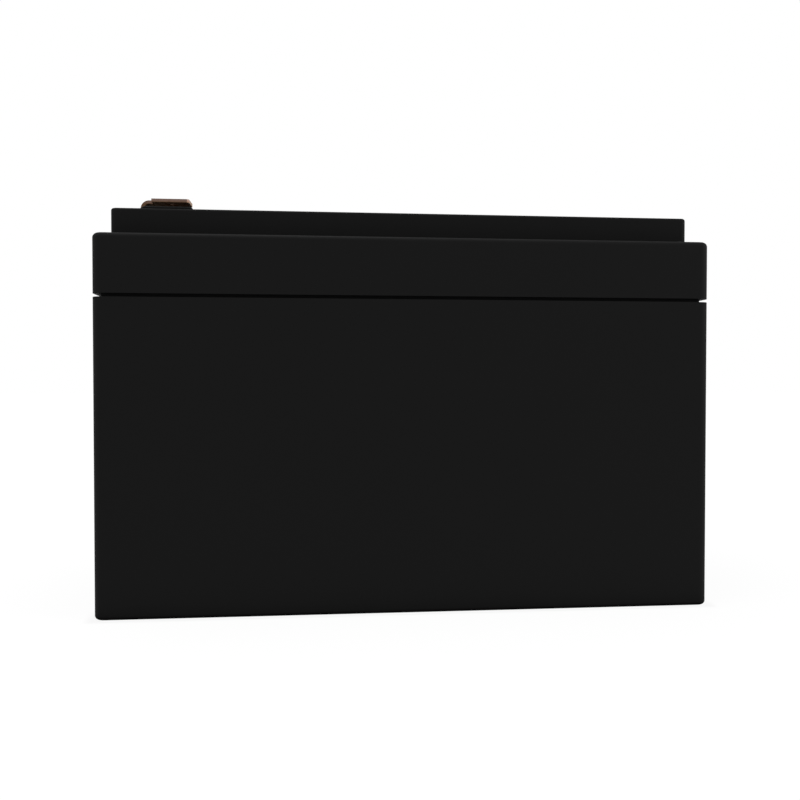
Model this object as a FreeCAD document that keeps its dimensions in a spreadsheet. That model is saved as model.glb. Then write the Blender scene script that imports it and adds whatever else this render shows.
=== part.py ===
# Sealed lead-acid battery for an uninterruptible power supply, built up piece by piece.
# Millimetres. The origin is the centre of the base, +Z is up, the long side runs along X,
# both terminals stand at the -X end and the front face looks towards -Y.
import FreeCAD, Part
import math
import os
import Sketcher

DRIVING = {
    # Outside of the case
    "case_length": 151.0,
    "case_width": 65.0,
    "jar_height": 76.5,
    "groove_gap": 0.85,
    "lid_height": 14.3,
    "corner_radius": 2.5,
    "base_edge_radius": 1.0,
    "lid_edge_radius": 1.2,
    "plateau_rise": 7.23,
    "plateau_end_inset": 2.74,
    "plateau_side_inset": 7.89,
    "plateau_corner_radius": 1.5,
    "plateau_edge_radius": 0.6,
    # Jar: walls, partitions and the tongue that stands up into the lid
    "jar_wall": 3.0,
    "floor_thickness": 3.0,
    "partition_thickness": 1.5,
    "cell_corner_radius": 0.8,
    "tongue_thickness": 1.2,
    "tongue_height": 9.0,
    "rest_rib_height": 1.0,
    "rest_rib_width": 2.0,
    "rest_rib_inset": 8.1,
    # Lid underside: sealing channels, head spaces and coring
    "tongue_clearance": 0.15,
    "sealant_thickness": 0.5,
    "channel_depth": 3.5,
    "rib_wall": 1.2,
    "lid_plate": 2.7,
    "plateau_wall": 2.4,
    "plateau_skin": 2.4,
    # Vent chamber, its cover and the six valves
    "cover_end_margin": 2.35,
    "cover_land": 1.3,
    "cover_thickness": 1.6,
    "cover_clearance": 0.15,
    "cover_edge_radius": 0.4,
    "ledge_width": 1.2,
    "vent_slot_length": 4.0,
    "vent_slot_depth": 0.8,
    "vent_slot_spacing": 36.0,
    "chamber_depth": 7.6,
    "valve_wall_gap": 0.25,
    "chimney_height": 4.4,
    "cap_wall": 1.2,
    "cap_clearance": 0.1,
    "cap_gap": 0.25,
    "cap_lip_gap": 0.6,
    "cap_edge_radius": 0.4,
    # Terminal wells and the resin that stands a little proud of them
    "terminal_end_offset": 15.6,
    "well_length": 13.4,
    "well_width": 8.76,
    "well_wall": 0.9,
    "well_corner_radius": 1.1,
    "resin_rise": 0.8,
    "resin_edge_radius": 0.7,
    # Terminals and the lead posts below them
    "tab_width": 6.35,
    "tab_thickness": 0.8,
    "tab_length": 9.1,
    "tab_tip_chamfer": 0.5,
    "tab_hole_diameter": 1.6,
    "tab_clear_height": 1.96,
    "neck_width": 4.05,
    "neck_length": 3.04,
    "riser_clearance": 0.28,
    "bend_radius": 1.3,
    "foot_length": 8.4,
    "foot_bend_radius": 0.6,
    "post_diameter": 5.0,
    "post_offset": 5.4,
    "spigot_diameter": 3.4,
    "rivet_diameter": 5.2,
    "rivet_height": 0.9,
    "post_clearance": 0.15,
    "post_boss_diameter": 11.5,
    "post_boss_height": 3.0,
    "ring_section": 1.6,
    "ring_clearance": 0.05,
    # Plate groups, mats and the lead links between cells
    "stack_gap": 0.275,
    "mat_thickness": 1.0,
    "mat_clearance": 0.05,
    "mat_side_gap": 0.165,
    "mat_overhang": 2.5,
    "lug_inset": 6.6,
    "lug_width": 6.0,
    "lug_height": 4.0,
    "strap_margin": 0.8,
    "strap_height": 3.5,
    "tab_block": 6.0,
    "tab_block_height": 1.7,
    "link_height": 2.8,
    "link_clearance": 0.5,
    "notch_clearance": 0.2,
}
CELLS_PER_ROW = 3
POSITIVE_COUNT = 4
NEGATIVE_COUNT = POSITIVE_COUNT + 1

# Shares: positive plates of all the lead, valve cap of the chamber, bore of its chimney
POSITIVE_SHARE = 0.536
CAP_SHARE = 0.3855
BORE_SHARE = 0.46

doc = FreeCAD.newDocument("sealed_battery")
sheet = doc.addObject("Spreadsheet::Sheet", "Sizes")


class Size:
    """A length that carries its number and the formula that drives it."""

    def __init__(self, value, formula):
        self.value = value
        self.formula = formula

    def __add__(self, other):
        other = as_size(other)
        return Size(self.value + other.value, f"({self.formula} + {other.formula})")

    def __sub__(self, other):
        other = as_size(other)
        return Size(self.value - other.value, f"({self.formula} - {other.formula})")

    def __mul__(self, factor):
        return Size(self.value * factor, f"({self.formula} * {factor})")

    def __truediv__(self, factor):
        return Size(self.value / factor, f"({self.formula} / {factor})")

    def __neg__(self):
        return Size(-self.value, f"(0 - {self.formula})")


def as_size(number):
    return number if isinstance(number, Size) else Size(float(number), f"({float(number)})")


def driving_sizes():
    """Writes the sheet and returns each driving dimension as a Size."""
    for row, (name, value) in enumerate(DRIVING.items(), start=1):
        sheet.set(f"A{row}", name)
        sheet.set(f"B{row}", str(value))
        sheet.setAlias(f"B{row}", name)
    doc.recompute()
    return {name: Size(value, f"Sizes.{name}") for name, value in DRIVING.items()}


D = driving_sizes()
ZERO = as_size(0)

# Levels that several pieces share, all above the base
JAR_TOP = D["jar_height"]
LID_BOTTOM = JAR_TOP + D["groove_gap"]
LID_TOP = LID_BOTTOM + D["lid_height"]
PLATEAU_TOP = LID_TOP + D["plateau_rise"]
TONGUE_TOP = JAR_TOP + D["tongue_height"]
CHANNEL_TOP = TONGUE_TOP + D["sealant_thickness"]
RIB_BOTTOM = CHANNEL_TOP - D["channel_depth"]
CHAMBER_FLOOR = PLATEAU_TOP - D["chamber_depth"]
CEILING = CHAMBER_FLOOR - D["lid_plate"]
LINK_TOP = RIB_BOTTOM - D["link_clearance"]
LINK_BOTTOM = LINK_TOP - D["link_height"]
STRAP_TOP = LINK_BOTTOM - D["tab_block_height"]
STRAP_BOTTOM = STRAP_TOP - D["strap_height"]
PLATE_TOP = STRAP_BOTTOM - D["lug_height"]
PLATE_BOTTOM = D["floor_thickness"] + D["rest_rib_height"]
MAT_HEIGHT = PLATE_TOP + D["mat_overhang"] - PLATE_BOTTOM

# Plan sizes that several pieces share
HALF_LENGTH = D["case_length"] / 2
HALF_WIDTH = D["case_width"] / 2
PLATEAU_X = HALF_LENGTH - D["plateau_end_inset"]
PLATEAU_Y = HALF_WIDTH - D["plateau_side_inset"]
SHOULDER = D["jar_wall"] - D["tongue_thickness"]
SOCKET_X = HALF_LENGTH - SHOULDER + D["tongue_clearance"]
SOCKET_Y = HALF_WIDTH - SHOULDER + D["tongue_clearance"]
CELL_LENGTH = (
    D["case_length"] - D["jar_wall"] * 2 - D["partition_thickness"] * (CELLS_PER_ROW - 1)
) / CELLS_PER_ROW
CELL_WIDTH = (D["case_width"] - D["jar_wall"] * 2 - D["partition_thickness"]) / 2
CELL_STEP = CELL_LENGTH + D["partition_thickness"]
ROW_Y = (CELL_WIDTH + D["partition_thickness"]) / 2
TERMINAL_X = D["terminal_end_offset"] - HALF_LENGTH
TERMINAL_Y = PLATEAU_Y - D["well_wall"] - D["well_width"] / 2
POST_X = TERMINAL_X - D["well_length"] / 2 + D["post_offset"]

# The vent cover's recess, the chamber below it and the valves in the chamber
COVER_Y = TERMINAL_Y - D["well_width"] / 2 - D["cover_land"] - D["cover_clearance"]
RECESS_Y = COVER_Y + D["cover_clearance"]
CHAMBER_Y = RECESS_Y - D["ledge_width"]
CAP_OUTER = CHAMBER_Y * CAP_SHARE
CAP_INNER = CAP_OUTER - D["cap_wall"]
COVER_X = CELL_STEP + CAP_OUTER + D["cover_end_margin"]
RECESS_X = COVER_X + D["cover_clearance"]
CHAMBER_X = RECESS_X - D["ledge_width"]
CHIMNEY_DIAMETER = (CAP_INNER - D["cap_clearance"]) * 2
VALVE_Y = CHAMBER_Y - CAP_OUTER - D["valve_wall_gap"]

# Plates fill the cell's width with a mat between each two; folds fill its length
MAT_SPACE = D["mat_thickness"] + D["mat_clearance"] * 2
ALL_PLATES = CELL_WIDTH - D["stack_gap"] * 2 - MAT_SPACE * (POSITIVE_COUNT * 2)
POSITIVE_THICKNESS = ALL_PLATES * (POSITIVE_SHARE / POSITIVE_COUNT)
NEGATIVE_THICKNESS = ALL_PLATES * ((1 - POSITIVE_SHARE) / NEGATIVE_COUNT)
PLATE_PITCH = (POSITIVE_THICKNESS + NEGATIVE_THICKNESS) / 2 + MAT_SPACE
FOLD_REACH = MAT_SPACE + POSITIVE_THICKNESS / 2
PLATE_WIDTH = CELL_LENGTH - (FOLD_REACH + D["mat_side_gap"]) * 2
LUG_X = PLATE_WIDTH / 2 - D["lug_inset"]

# Each cell: its place in the series chain, its column and row, and its half turn
CELLS = [
    (1, -1, -1, 0),
    (2, 0, -1, 0),
    (3, 1, -1, 0),
    (4, 1, 1, 180),
    (5, 0, 1, 180),
    (6, -1, 1, 180),
]


# Helpers for bodies, sketches and features
def new_body(label):
    body = doc.addObject("PartDesign::Body", label)
    body.Label = label
    return body


def place(body, x=ZERO, y=ZERO, z=ZERO, turn=0):
    """Puts a body at a driven place, turned about Z by a fixed angle."""
    body.Placement = FreeCAD.Placement(
        FreeCAD.Vector(x.value, y.value, z.value),
        FreeCAD.Rotation(FreeCAD.Vector(0, 0, 1), turn),
    )
    body.setExpression("Placement.Base.x", x.formula)
    body.setExpression("Placement.Base.y", y.formula)
    body.setExpression("Placement.Base.z", z.formula)


def new_sketch(body, name, level=ZERO, plane="XY_Plane"):
    """Starts a sketch on one of the body's own origin planes, offset by level."""
    origin_plane = next(part for part in body.Origin.OriginFeatures if part.Role == plane)
    sketch = body.newObject("Sketcher::SketchObject", name)
    sketch.AttachmentSupport = [(origin_plane, "")]
    sketch.MapMode = "FlatFace"
    sketch.AttachmentOffset = FreeCAD.Placement(
        FreeCAD.Vector(0, 0, level.value), FreeCAD.Rotation()
    )
    sketch.setExpression("AttachmentOffset.Base.z", level.formula)
    return sketch


def fix_point(sketch, edge, end, x, y):
    """Holds one point of a sketch at driven coordinates."""
    for kind, axis, size in (("DistanceX", -2, x), ("DistanceY", -1, y)):
        if size is ZERO:
            sketch.addConstraint(Sketcher.Constraint("PointOnObject", edge, end, axis))
        else:
            index = sketch.addConstraint(Sketcher.Constraint(kind, edge, end, size.value))
            sketch.setExpression(f"Constraints[{index}]", size.formula)


def polygon(sketch, points):
    """Adds a closed outline of straight runs through driven points."""
    first = sketch.GeometryCount
    corners = [FreeCAD.Vector(x.value, y.value, 0) for x, y in points]
    for start, end in zip(corners, corners[1:] + corners[:1]):
        sketch.addGeometry(Part.LineSegment(start, end), False)
    for index in range(len(points)):
        following = (index + 1) % len(points)
        sketch.addConstraint(
            Sketcher.Constraint("Coincident", first + index, 2, first + following, 1)
        )
    for index, (x, y) in enumerate(points):
        fix_point(sketch, first + index, 1, x, y)


def rectangle(sketch, x0, x1, y0, y1):
    polygon(sketch, [(x0, y0), (x1, y0), (x1, y1), (x0, y1)])


def centred_rectangle(sketch, x, y, half_x, half_y):
    rectangle(sketch, x - half_x, x + half_x, y - half_y, y + half_y)


def arc(sketch, x, y, radius, start, end):
    """Adds an arc about a driven point, with a driven radius and free ends."""
    up = FreeCAD.Vector(0, 0, 1)
    centre = FreeCAD.Vector(x.value, y.value, 0)
    curve = Part.ArcOfCircle(Part.Circle(centre, up, radius.value), start, end)
    edge = sketch.addGeometry(curve, False)
    fix_point(sketch, edge, 3, x, y)
    index = sketch.addConstraint(Sketcher.Constraint("Radius", edge, radius.value))
    sketch.setExpression(f"Constraints[{index}]", radius.formula)
    return edge


def join_ends(sketch, first, first_end, second, second_end, rule):
    """Draws a line from one curve's end to another's, held to both by the same rule."""
    points = sketch.getPoint(first, first_end), sketch.getPoint(second, second_end)
    line = sketch.addGeometry(Part.LineSegment(*points), False)
    sketch.addConstraint(Sketcher.Constraint(rule, first, first_end, line, 1))
    sketch.addConstraint(Sketcher.Constraint(rule, line, 2, second, second_end))


def rounded_rectangle(sketch, x, y, half_x, half_y, radius):
    """A rectangle about (x, y): four corner arcs joined by tangent lines."""
    quarter = math.pi / 2
    corners = []
    for turn, (sign_x, sign_y) in enumerate(((1, 1), (-1, 1), (-1, -1), (1, -1))):
        centre_x = x + (half_x - radius) * sign_x
        centre_y = y + (half_y - radius) * sign_y
        corners.append(
            arc(sketch, centre_x, centre_y, radius, quarter * turn, quarter * (turn + 1))
        )
    for corner, following in zip(corners, corners[1:] + corners[:1]):
        join_ends(sketch, corner, 2, following, 1, "Tangent")


def circle(sketch, x, y, diameter):
    up = FreeCAD.Vector(0, 0, 1)
    centre = FreeCAD.Vector(x.value, y.value, 0)
    edge = sketch.addGeometry(Part.Circle(centre, up, diameter.value / 2), False)
    fix_point(sketch, edge, 3, x, y)
    index = sketch.addConstraint(Sketcher.Constraint("Diameter", edge, diameter.value))
    sketch.setExpression(f"Constraints[{index}]", diameter.formula)


def pad(body, sketch, name, length):
    feature = body.newObject("PartDesign::Pad", name)
    feature.Profile = sketch
    feature.setExpression("Length", length.formula)
    doc.recompute()
    return feature


def pocket(body, sketch, name, length, upward=False):
    """Cuts down from the sketch, or up from it, and checks that something went."""
    before = body.Shape.Volume
    feature = body.newObject("PartDesign::Pocket", name)
    feature.Profile = sketch
    feature.Reversed = upward
    feature.setExpression("Length", length.formula)
    doc.recompute()
    if not body.Shape.Volume < before:
        raise RuntimeError(f"{body.Label}: {name} cuts nothing")
    return feature


def row_of(body, originals, name, step, count, axis):
    """Repeats features along one of the body's own axes."""
    direction = next(part for part in body.Origin.OriginFeatures if part.Role == axis)
    pattern = body.newObject("PartDesign::LinearPattern", name)
    pattern.Originals = originals
    pattern.Direction = (direction, [""])
    pattern.Mode = "Spacing"
    pattern.setExpression("Offset", step.formula)
    pattern.Occurrences = count
    body.Tip = pattern
    doc.recompute()
    return pattern


def edge_names(shape, chosen):
    """Names of the edges whose middle point and direction pass the test."""
    names = []
    for index, edge in enumerate(shape.Edges, start=1):
        middle = edge.valueAt((edge.FirstParameter + edge.LastParameter) / 2)
        span = edge.lastVertex().Point - edge.firstVertex().Point
        if chosen(middle, span):
            names.append(f"Edge{index}")
    return names


def near(number, *sizes):
    return any(abs(number - size.value) < 1e-4 for size in sizes)


def upright(span):
    return abs(span.x) < 1e-6 and abs(span.y) < 1e-6 and abs(span.z) > 1e-6


def fillet(body, name, radius, chosen):
    """Rounds the edges of the body's last feature that pass the test."""
    base = body.Tip
    feature = body.newObject("PartDesign::Fillet", name)
    feature.Base = (base, edge_names(base.Shape, chosen))
    feature.setExpression("Radius", radius.formula)
    doc.recompute()
    return feature


def chamfer(body, name, size, chosen):
    base = body.Tip
    feature = body.newObject("PartDesign::Chamfer", name)
    feature.Base = (base, edge_names(base.Shape, chosen))
    feature.setExpression("Size", size.formula)
    doc.recompute()
    return feature


def round_corners(body, name, radius, x, y):
    """Rounds the four upright edges of a block that is centred on the body's axis."""
    fillet(body, name, radius, lambda middle, span: upright(span)
           and near(abs(middle.x), x) and near(abs(middle.y), y))


def cell_centres():
    """The six cell centres, in the order of the series chain."""
    return [(CELL_STEP * column, ROW_Y * row) for _, column, row, _ in CELLS]


# The case
def make_case_jar():
    """Open-topped jar: shoulder, tongue, six cells, link notches and plate rests."""
    body = new_body("case_jar")
    sketch = new_sketch(body, "jar_outline")
    rectangle(sketch, -HALF_LENGTH, HALF_LENGTH, -HALF_WIDTH, HALF_WIDTH)
    pad(body, sketch, "jar_block", JAR_TOP)
    round_corners(body, "jar_corners", D["corner_radius"], HALF_LENGTH, HALF_WIDTH)
    fillet(body, "base_edges", D["base_edge_radius"], lambda middle, span: near(middle.z, ZERO))

    tongue_x = HALF_LENGTH - SHOULDER
    tongue_y = HALF_WIDTH - SHOULDER
    sketch = new_sketch(body, "tongue_outline", JAR_TOP)
    rectangle(sketch, -tongue_x, tongue_x, -tongue_y, tongue_y)
    pad(body, sketch, "tongue_block", D["tongue_height"])
    round_corners(body, "tongue_corners", D["corner_radius"] - SHOULDER, tongue_x, tongue_y)

    sketch = new_sketch(body, "cell_outlines", TONGUE_TOP)
    for x, y in cell_centres():
        rounded_rectangle(sketch, x, y, CELL_LENGTH / 2, CELL_WIDTH / 2, D["cell_corner_radius"])
    pocket(body, sketch, "cells", TONGUE_TOP - D["floor_thickness"])

    notch_half = D["tab_block"] / 2 + D["notch_clearance"]
    notch_reach = D["partition_thickness"]
    sketch = new_sketch(body, "notch_outlines", TONGUE_TOP)
    for side in (-1, 1):
        for column in (-1, 1):
            centred_rectangle(sketch, CELL_STEP / 2 * column, ROW_Y * side, notch_reach, notch_half)
    centred_rectangle(sketch, CELL_STEP + LUG_X, ZERO, notch_half, notch_reach)
    pocket(body, sketch, "link_notches", TONGUE_TOP - LINK_BOTTOM + D["notch_clearance"])

    sketch = new_sketch(body, "rest_outlines", D["floor_thickness"] / 2)
    for x, y in cell_centres():
        for side in (-1, 1):
            centre = x + (PLATE_WIDTH / 2 - D["rest_rib_inset"]) * side
            centred_rectangle(sketch, centre, y, D["rest_rib_width"] / 2, CELL_WIDTH / 2)
    pad(body, sketch, "plate_rests", D["floor_thickness"] / 2 + D["rest_rib_height"])
    return body


def channel_network(sketch):
    """The sealing channel: everything inside the skirt except an island over each cell."""
    rectangle(sketch, -SOCKET_X, SOCKET_X, -SOCKET_Y, SOCKET_Y)
    for x, y in cell_centres():
        half_x = CELL_LENGTH / 2 - D["tongue_clearance"]
        half_y = CELL_WIDTH / 2 - D["tongue_clearance"]
        rounded_rectangle(sketch, x, y, half_x, half_y, D["cell_corner_radius"])


def cut_lid_underside(body):
    """Socket inside the skirt, sealing channels, head spaces and coring of the plateau."""
    sketch = new_sketch(body, "socket_outline", LID_BOTTOM)
    rectangle(sketch, -SOCKET_X, SOCKET_X, -SOCKET_Y, SOCKET_Y)
    pocket(body, sketch, "socket", RIB_BOTTOM - LID_BOTTOM, upward=True)

    sketch = new_sketch(body, "channel_outline", RIB_BOTTOM)
    channel_network(sketch)
    pocket(body, sketch, "channels", D["channel_depth"], upward=True)

    head_x = CELL_LENGTH / 2 - D["tongue_clearance"] - D["rib_wall"]
    head_y = CELL_WIDTH / 2 - D["tongue_clearance"] - D["rib_wall"]
    sketch = new_sketch(body, "head_space_outline", RIB_BOTTOM)
    for x, y in cell_centres():
        centred_rectangle(sketch, x, y, head_x, head_y)
    pocket(body, sketch, "head_spaces", CEILING - RIB_BOTTOM, upward=True)

    strip_inner = RECESS_Y + D["plateau_wall"]
    strip_outer = PLATEAU_Y - D["plateau_wall"]
    well_end = TERMINAL_X + D["well_length"] / 2 + D["plateau_wall"]
    sketch = new_sketch(body, "side_coring_outline", CEILING)
    for x, _ in cell_centres()[:CELLS_PER_ROW]:
        start = well_end if x.value < 0 else x - head_x
        rectangle(sketch, start, x + head_x, -strip_outer, -strip_inner)
        rectangle(sketch, start, x + head_x, strip_inner, strip_outer)
    pocket(body, sketch, "side_coring", PLATEAU_TOP - D["plateau_skin"] - CEILING, upward=True)

    end_inner = RECESS_X + D["plateau_wall"]
    end_outer = CELL_STEP + head_x
    near_y = ROW_Y - head_y
    far_y = TERMINAL_Y - D["well_width"] / 2 - D["plateau_wall"]
    sketch = new_sketch(body, "end_coring_outline", CEILING)
    for x0, x1 in ((-end_outer, -end_inner), (end_inner, end_outer)):
        rectangle(sketch, x0, x1, -far_y, -near_y)
        rectangle(sketch, x0, x1, near_y, far_y)
    pocket(body, sketch, "end_coring", PLATEAU_TOP - D["plateau_skin"] - CEILING, upward=True)


def cut_vent_chamber(body):
    """Recess for the cover, the chamber below it, and six bored chimneys."""
    sketch = new_sketch(body, "cover_recess_outline", PLATEAU_TOP)
    rectangle(sketch, -RECESS_X, RECESS_X, -RECESS_Y, RECESS_Y)
    pocket(body, sketch, "cover_recess", D["cover_thickness"])

    sketch = new_sketch(body, "vent_chamber_outline", PLATEAU_TOP)
    rectangle(sketch, -CHAMBER_X, CHAMBER_X, -CHAMBER_Y, CHAMBER_Y)
    pocket(body, sketch, "vent_chamber", D["chamber_depth"])

    sketch = new_sketch(body, "chimney_outline", CHAMBER_FLOOR)
    for x, y in valve_places():
        circle(sketch, x, y, CHIMNEY_DIAMETER)
    pad(body, sketch, "chimneys", D["chimney_height"])
    sketch = new_sketch(body, "chimney_bore_outline", CHAMBER_FLOOR + D["chimney_height"])
    for x, y in valve_places():
        circle(sketch, x, y, CHIMNEY_DIAMETER * BORE_SHARE)
    pocket(body, sketch, "chimney_bores", D["chimney_height"] + D["lid_plate"])


def valve_places():
    return [(CELL_STEP * column, VALVE_Y * row) for _, column, row, _ in CELLS]


def cut_terminal_wells(body):
    """Two wells in the plateau, each with a boss, a ring seat and a post hole."""
    half_x = D["well_length"] / 2
    half_y = D["well_width"] / 2
    sketch = new_sketch(body, "post_boss_outline", CEILING - D["post_boss_height"])
    for side in (-1, 1):
        circle(sketch, POST_X, TERMINAL_Y * side, D["post_boss_diameter"])
    pad(body, sketch, "post_bosses", D["post_boss_height"] + D["lid_plate"] / 2)

    sketch = new_sketch(body, "well_outline", PLATEAU_TOP)
    for side in (-1, 1):
        rounded_rectangle(sketch, TERMINAL_X, TERMINAL_Y * side, half_x, half_y,
                          D["well_corner_radius"])
    pocket(body, sketch, "wells", D["chamber_depth"])

    sketch = new_sketch(body, "ring_seat_outline", CHAMBER_FLOOR)
    for side in (-1, 1):
        circle(sketch, POST_X, TERMINAL_Y * side, ring_outside() + D["ring_clearance"] * 2)
    pocket(body, sketch, "ring_seats", D["ring_section"] + D["ring_clearance"] * 2)

    sketch = new_sketch(body, "post_hole_outline", CHAMBER_FLOOR)
    for side in (-1, 1):
        circle(sketch, POST_X, TERMINAL_Y * side, D["post_diameter"] + D["post_clearance"] * 2)
    pocket(body, sketch, "post_holes", D["lid_plate"] + D["post_boss_height"])


def ring_outside():
    return D["post_diameter"] + D["ring_section"] * 2 + D["ring_clearance"] * 2


def make_lid():
    """Lid: skirt and shoulder, raised plateau with terminal wells and vent chamber."""
    body = new_body("lid")
    sketch = new_sketch(body, "lid_outline", LID_BOTTOM)
    rectangle(sketch, -HALF_LENGTH, HALF_LENGTH, -HALF_WIDTH, HALF_WIDTH)
    pad(body, sketch, "lid_block", D["lid_height"])
    round_corners(body, "lid_corners", D["corner_radius"], HALF_LENGTH, HALF_WIDTH)
    fillet(body, "lid_edges", D["lid_edge_radius"], lambda middle, span: near(middle.z, LID_TOP))

    sketch = new_sketch(body, "plateau_outline", LID_TOP)
    rectangle(sketch, -PLATEAU_X, PLATEAU_X, -PLATEAU_Y, PLATEAU_Y)
    pad(body, sketch, "plateau_block", D["plateau_rise"])
    round_corners(body, "plateau_corners", D["plateau_corner_radius"], PLATEAU_X, PLATEAU_Y)
    fillet(body, "plateau_edges", D["plateau_edge_radius"],
           lambda middle, span: near(middle.z, PLATEAU_TOP))

    cut_lid_underside(body)
    cut_vent_chamber(body)
    cut_terminal_wells(body)
    return body


def make_lid_sealant():
    """Thin bead of cement on the tongue and partitions, in the bottom of the channels."""
    body = new_body("lid_sealant")
    sketch = new_sketch(body, "sealant_outline", TONGUE_TOP)
    channel_network(sketch)
    pad(body, sketch, "sealant_bead", D["sealant_thickness"])
    return body


def make_vent_cover():
    """Flat strip in the plateau's recess, with gas slots along both long edges."""
    body = new_body("vent_cover")
    sketch = new_sketch(body, "cover_outline", PLATEAU_TOP - D["cover_thickness"])
    rectangle(sketch, -COVER_X, COVER_X, -COVER_Y, COVER_Y)
    pad(body, sketch, "cover_plate", D["cover_thickness"])
    round_corners(body, "cover_corners", D["cover_edge_radius"], COVER_X, COVER_Y)
    fillet(body, "cover_edges", D["cover_edge_radius"],
           lambda middle, span: near(middle.z, PLATEAU_TOP))
    sketch = new_sketch(body, "gas_slot_outline", PLATEAU_TOP)
    half_slot = D["vent_slot_length"] / 2
    for side in (-1, 1):
        for step in (-1, 0, 1):
            centred_rectangle(sketch, D["vent_slot_spacing"] * step, COVER_Y * side,
                              half_slot, D["vent_slot_depth"])
    pocket(body, sketch, "gas_slots", D["cover_thickness"])
    return body


def make_valve_cap(number, x, y):
    """Rubber cap pushed over a chimney: a turned cup, open downwards."""
    body = new_body(f"valve_cap_{number}")
    top = PLATEAU_TOP - D["cover_thickness"] - D["cap_gap"] - CHAMBER_FLOOR
    sketch = new_sketch(body, "cap_profile", plane="XZ_Plane")
    polygon(sketch, [
        (ZERO, D["chimney_height"]),
        (CAP_INNER, D["chimney_height"]),
        (CAP_INNER, D["cap_lip_gap"]),
        (CAP_OUTER, D["cap_lip_gap"]),
        (CAP_OUTER, top),
        (ZERO, top),
    ])
    feature = body.newObject("PartDesign::Revolution", "cap_turning")
    feature.Profile = sketch
    feature.ReferenceAxis = (sketch, ["V_Axis"])
    feature.Angle = 360
    doc.recompute()
    fillet(body, "cap_rim", D["cap_edge_radius"], lambda middle, span: near(middle.z, top)
           and near(middle.sub(FreeCAD.Vector(0, 0, middle.z)).Length, CAP_OUTER))
    place(body, x, y, CHAMBER_FLOOR)
    return body


# Terminals
def make_terminal(label, side):
    """Strip bent to a C: foot on the post, riser narrowed from outside, flat tab on top."""
    body = new_body(label)
    thickness = D["tab_thickness"]
    riser = TERMINAL_X - D["well_length"] / 2 + D["riser_clearance"]
    tip = riser + D["neck_length"] + D["tab_length"]
    foot_end = riser + D["foot_length"]
    tab_bottom = PLATEAU_TOP + D["tab_clear_height"]
    tab_top = tab_bottom + thickness
    half_width = D["tab_width"] / 2
    sketch = new_sketch(body, "strip_profile", -half_width, plane="XZ_Plane")
    polygon(sketch, [
        (riser, CHAMBER_FLOOR),
        (foot_end, CHAMBER_FLOOR),
        (foot_end, CHAMBER_FLOOR + thickness),
        (riser + thickness, CHAMBER_FLOOR + thickness),
        (riser + thickness, tab_bottom),
        (tip, tab_bottom),
        (tip, tab_top),
        (riser, tab_top),
    ])
    pad(body, sketch, "strip", D["tab_width"])

    def bend(name, radius, x, z):
        fillet(body, name, radius, lambda middle, span: near(middle.x, x) and near(middle.z, z)
               and abs(span.y) > 1e-6)

    bend("top_bend_inside", D["bend_radius"], riser + thickness, tab_bottom)
    bend("top_bend_outside", D["bend_radius"] + thickness, riser, tab_top)
    bend("foot_bend_inside", D["foot_bend_radius"], riser + thickness,
         CHAMBER_FLOOR + thickness)
    bend("foot_bend_outside", D["foot_bend_radius"] + thickness, riser, CHAMBER_FLOOR)

    neck_side = D["neck_width"] - half_width
    outside = half_width + thickness
    neck_bottom = CHAMBER_FLOOR + thickness * 2 + D["foot_bend_radius"]
    sketch = new_sketch(body, "neck_outline", riser - thickness, plane="YZ_Plane")
    if side < 0:
        rectangle(sketch, -outside, -neck_side, neck_bottom, tab_top + thickness)
    else:
        rectangle(sketch, neck_side, outside, neck_bottom, tab_top + thickness)
    pocket(body, sketch, "neck", D["neck_length"] + thickness, upward=True)

    chamfer(body, "tip_corners", D["tab_tip_chamfer"], lambda middle, span: upright(span)
            and near(middle.x, tip) and near(abs(middle.y), half_width))
    sketch = new_sketch(body, "tab_hole_outline", tab_top)
    circle(sketch, tip - D["tab_length"] / 2, ZERO, D["tab_hole_diameter"])
    pocket(body, sketch, "tab_hole", thickness)
    sketch = new_sketch(body, "foot_hole_outline", CHAMBER_FLOOR + thickness)
    circle(sketch, POST_X, ZERO, D["spigot_diameter"])
    pocket(body, sketch, "foot_hole", thickness)
    place(body, y=TERMINAL_Y * side)
    return body


def make_terminal_post(label, side):
    """Cast lead post: a base on the strap's block, a stem through the lid, a rivet head."""
    body = new_body(label)
    half_block = D["tab_block"] / 2
    strap_x = -CELL_STEP - LUG_X
    stem_radius = D["post_diameter"] / 2
    sketch = new_sketch(body, "post_base_outline", LINK_BOTTOM)
    low_y, high_y = ROW_Y - half_block, TERMINAL_Y + stem_radius
    if side < 0:
        rectangle(sketch, strap_x - half_block, POST_X + stem_radius, -high_y, -low_y)
    else:
        rectangle(sketch, strap_x - half_block, POST_X + stem_radius, low_y, high_y)
    pad(body, sketch, "post_base", D["link_height"])

    foot_top = CHAMBER_FLOOR + D["tab_thickness"]
    for name, level, top, diameter in (
        ("stem", LINK_TOP, CHAMBER_FLOOR, D["post_diameter"]),
        ("spigot", CHAMBER_FLOOR, foot_top, D["spigot_diameter"]),
        ("rivet_head", foot_top, foot_top + D["rivet_height"], D["rivet_diameter"]),
    ):
        sketch = new_sketch(body, f"{name}_outline", level)
        circle(sketch, POST_X, TERMINAL_Y * side, diameter)
        pad(body, sketch, name, top - level)
    return body


def make_post_ring(label, side):
    """Rubber ring round the post, in its seat at the bottom of the well."""
    ring = doc.addObject("Part::Torus", label)
    ring.Label = label
    centre_radius = D["post_diameter"] / 2 + D["ring_clearance"] + D["ring_section"] / 2
    ring.setExpression("Radius1", centre_radius.formula)
    ring.setExpression("Radius2", (D["ring_section"] / 2).formula)
    place(ring, POST_X, TERMINAL_Y * side,
          CHAMBER_FLOOR - D["ring_clearance"] - D["ring_section"] / 2)
    return ring


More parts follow.
